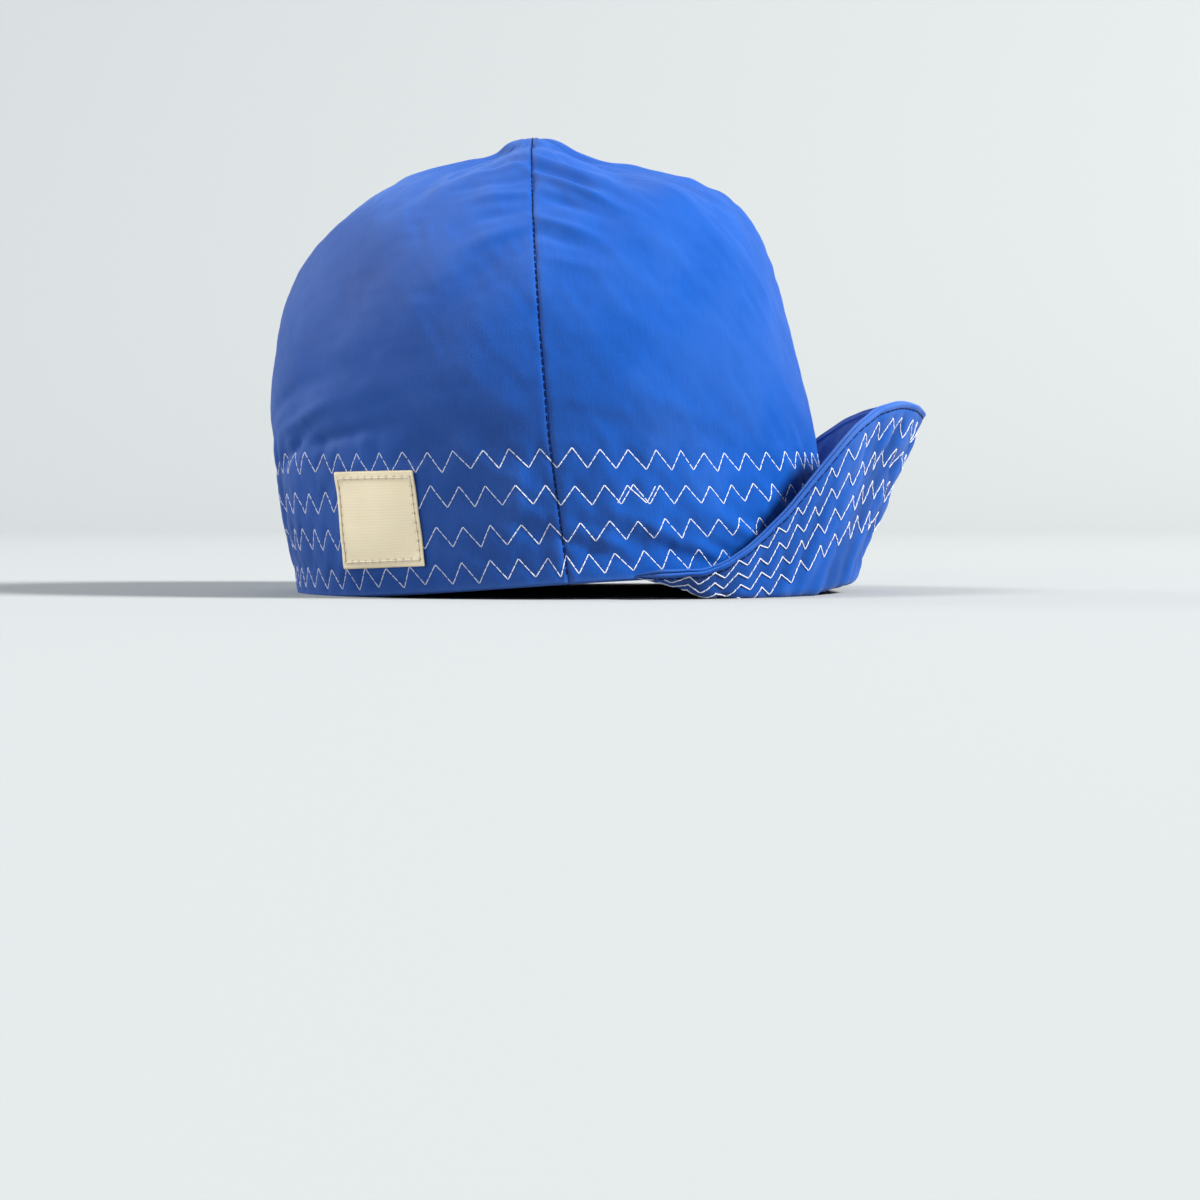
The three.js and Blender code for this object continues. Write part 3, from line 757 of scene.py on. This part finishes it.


# Label: a bare patch of unbleached cotton canvas, sewn flat on the band of the back right panel with a cream
# running stitch just inside its cut edge. It is matt and faintly stained. Its needle holes and the lip of
# its cut edge are painted dark as shade. The weave is drawn at 1 mm, about twice its real spacing, to show.
def cotton_canvas(name, pale, deep, painted_hole_shade):
    weave_pitch, stain_patch = 1.0, 9
    material = bpy.data.materials.new(name)
    material.use_nodes = True
    shader = material.node_tree.nodes["Principled BSDF"]
    weave = add_node(material, "UVMap", uv_map="weave")
    thread_lines = {
        "Vector": weave.outputs["UV"], "Scale": 2 * np.pi / 20 / weave_pitch, "Distortion": 1.5,
        "Detail": 2.0}
    warp = add_node(material, "TexWave", thread_lines)
    weft = add_node(material, "TexWave", thread_lines, bands_direction="Y")
    grid = add_node(material, "Math", {
        0: warp.outputs["Fac"], 1: weft.outputs["Fac"]}, operation="MULTIPLY")
    stain = add_node(material, "TexNoise", {
        "Vector": weave.outputs["UV"], "Scale": 1 / stain_patch, "Detail": 5.0})
    colour = add_node(material, "Mix", {
        "Factor": stain.outputs["Fac"], "A": hex_colour(deep), "B": hex_colour(pale)}, data_type="RGBA")
    pierced = add_node(material, "Attribute", attribute_name="wear_and_painted_shade")
    # Painted shade in the needle holes and on the lip, mixed towards the dark hole colour.
    painted_hole_shading = add_node(material, "Mix", {
        "Factor": pierced.outputs["Fac"], "A": colour.outputs["Result"], "B": hex_colour(painted_hole_shade)},
        data_type="RGBA")
    relief = add_node(material, "Bump", {
        "Strength": 0.4, "Distance": 0.15 * MM, "Height": grid.outputs["Value"]})
    material.node_tree.links.new(painted_hole_shading.outputs["Result"], shader.inputs["Base Color"])
    material.node_tree.links.new(relief.outputs["Normal"], shader.inputs["Normal"])
    shader.inputs["Roughness"].default_value = 0.85
    shader.inputs["Sheen Weight"].default_value = 0.15
    return material


cream_canvas = cotton_canvas("cream_cotton_canvas", "#f2e3c4", "#e7d6b2", "#4a4030")
fine_heights = along_column(crown_levels["height"], fine_stations)
label_level = float(np.interp(label_lift, fine_heights, fine_stations))
label_ring = crown_shape(-1, 1, fine_angles, np.full_like(fine_angles, label_level))
label_quarter = np.linalg.norm(np.diff(label_ring, axis=0), axis=1).sum()


# A point over and up from the label's middle. Its corners curl up a little, and its cloth isn't quite flat.
def label_surface(over, rise, lift):
    angle = (label_from_seam + over) / label_quarter * np.pi / 2
    station = np.interp(label_lift + rise, fine_heights, fine_stations)
    to_corner = np.abs(over) / (label_width / 2) + np.abs(rise) / (label_height / 2)
    curl = 0.7 * smooth_step(to_corner, 1.5, 2.0)
    wave = 0.25 * crumple(over + 40, rise + 40, 9, 11, 31)
    return crown_cloth(-1, 1, angle, station, lift + curl + wave, covered=True)


over = np.linspace(label_width / 2, -label_width / 2, 86)
rise = np.linspace(-label_height / 2, label_height / 2, 81)
label_over, label_rise = np.meshgrid(over, rise)
side_inset, end_inset, label_stitch = 1.3, 2.1, 3.1
sewn_width, sewn_height = label_width - 2 * side_inset, label_height - 2 * end_inset
corners = np.array([(-1, -1), (1, -1), (1, 1), (-1, 1), (-1, -1)]) * (sewn_width / 2, sewn_height / 2)
holes = []
for here, there in zip(corners[:-1], corners[1:]):
    count = int(round(np.linalg.norm(there - here) / label_stitch))
    holes.append(here + (there - here) * (np.arange(count) / count)[:, None])
holes = np.concatenate(holes)
# Each needle hole gets a dot of painted shade and a slight dip.
painted_hole_shade_strength, hole_radius, hole_dip = 0.9, 0.42, 0.3
pierced = np.zeros_like(label_over)
for hole_over, hole_rise in holes:
    off_hole = (label_over - hole_over) ** 2 + (label_rise - hole_rise) ** 2
    pierced = pierced + painted_hole_shade_strength * np.exp(-off_hole / hole_radius ** 2)
pierced = np.clip(pierced, 0, 1)
label_top = label_surface(label_over, label_rise, sewn_gap + label_cloth - hole_dip * pierced)
label_back = label_surface(label_over, label_rise, sewn_gap)
label_weave = np.stack([label_over + 50, label_rise + 50], -1)
label = cloth_piece("cloth_label", label_top, label_back, label_weave, pierced, cream_canvas)
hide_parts("label")

label_thread_radius = 0.25
tips = np.roll(holes, -1, axis=0)
stitch_over, stitch_up = stitch_line(holes[:, 0], tips[:, 0]), stitch_line(holes[:, 1], tips[:, 1])
stitch_lift = np.broadcast_to(sewn_gap + label_cloth + label_thread_radius * stitch_rise, stitch_over.shape)
stitch_centres = label_surface(stitch_over, stitch_up, stitch_lift)
stitch_normals = label_surface(stitch_over, stitch_up, stitch_lift + 1) - stitch_centres
cream_thread = spun_polyester("cream_spun_polyester_thread", "#f3ead6", "#dccfb2", 0.1)
thread_piece("label_stitching", stitch_centres, stitch_normals, label_thread_radius, cream_thread)


# Studio: one sweep of pale paper, floor and backdrop in one, lit by a large soft window on the bill's side,
# a soft sky overhead, a fill and an edge light on the side of the cap's back, and a light on the backdrop.
# Its lengths are in metres.
sweep_reach, backdrop_start, backdrop_curve, backdrop_top = 12.0, 2.2, 2.2, 4
turns = np.linspace(0, np.pi / 2, 17)
curve = [(backdrop_start + backdrop_curve * np.sin(t), backdrop_curve * (1 - np.cos(t))) for t in turns]
profile = [(-sweep_reach, 0)] + curve + [(backdrop_start + backdrop_curve, backdrop_top)]
points = [(away, across, height) for away, height in profile for across in (-sweep_reach, sweep_reach)]
faces = [(2 * k, 2 * k + 2, 2 * k + 3, 2 * k + 1) for k in range(len(profile) - 1)]
mesh = bpy.data.meshes.new("studio_sweep")
mesh.from_pydata(points, [], faces)
mesh.shade_smooth()
paper = bpy.data.materials.new("pale_backdrop_paper")
paper.use_nodes = True
shader = paper.node_tree.nodes["Principled BSDF"]
shader.inputs["Base Color"].default_value = hex_colour("#959899")
shader.inputs["Roughness"].default_value = 1.0
shader.inputs["Specular IOR Level"].default_value = 0.0
mesh.materials.append(paper)
sweep = bpy.data.objects.new("studio_sweep", mesh)
bpy.context.collection.objects.link(sweep)


def soft_light(name, place, target, size, power, colour, glossy=True):
    lamp = bpy.data.lights.new(name, "AREA")
    lamp.shape = "DISK"
    lamp.size = size
    lamp.energy = power
    lamp.color = colour
    light = bpy.data.objects.new(name, lamp)
    light.location = place
    light.visible_glossy = glossy
    bpy.context.collection.objects.link(light)
    direction = np.array(target) - np.array(place)
    yaw = np.arctan2(direction[0], -direction[1])
    pitch = np.arctan2(np.hypot(direction[0], direction[1]), -direction[2])
    light.rotation_euler = (pitch, 0, yaw + np.pi)


# The window casts no gloss, which would grey the blue on the bill's side.
cap_middle = (0, 0, 0.08)
soft_light("window", (-1.85, -6.5, 4.95), cap_middle, 2.0, 1800, (1.0, 0.985, 0.96), glossy=False)
soft_light("sky", (-0.6, 3.2, 5.8), cap_middle, 3.2, 230, (0.94, 0.97, 1.0))
soft_light("fill", (-6.0, 5.0, 2.5), cap_middle, 3.0, 110, (0.97, 0.98, 1.0))
soft_light("edge_light", (2.6, 6.4, 3.6), cap_middle, 3.0, 200, (0.97, 0.98, 1.0))
soft_light("backdrop_light", (1.6, 0, 4.4), (4.4, 0, 1.0), 2.6, 60, (1.0, 1.0, 1.0))
world = bpy.data.worlds.new("soft_room")
world.use_nodes = True
world.node_tree.nodes["Background"].inputs["Color"].default_value = hex_colour("#e6ebf0")
world.node_tree.nodes["Background"].inputs["Strength"].default_value = 0.45
bpy.context.scene.world = world

# The standard view transform keeps the royal blue as deep as it is. The default one turns it pale.
bpy.context.scene.view_settings.view_transform = "Standard"

# Camera: just above the floor, on the wearer's right. The lens and the distance are those that the
# photograph's perspective fits, and the rim's middle falls on cap_pixel. Its lengths are in metres.
image_size, focal_pixels, sensor_width = 1200, 2600, 36
camera_distance, camera_height = 0.93, 0.03
rim_centre = np.array([0, frame_shift[1] * MM, 0])
cap_pixel = np.array([568.0, 591.0])
lens = bpy.data.cameras.new("camera")
lens.sensor_width = sensor_width
lens.lens = sensor_width * focal_pixels / image_size
lens.clip_start = 0.01
across_turn = np.arctan((cap_pixel[0] - image_size / 2) / focal_pixels)
down_turn = np.arctan((cap_pixel[1] - image_size / 2) / focal_pixels)
pitch_to_rim = np.arctan2(camera_height, camera_distance)
camera = bpy.data.objects.new("camera", lens)
camera.location = rim_centre + (-camera_distance, 0, camera_height)
camera.rotation_euler = (np.pi / 2 - pitch_to_rim + down_turn, 0, -np.pi / 2 + across_turn)
bpy.context.collection.objects.link(camera)
bpy.context.scene.camera = camera
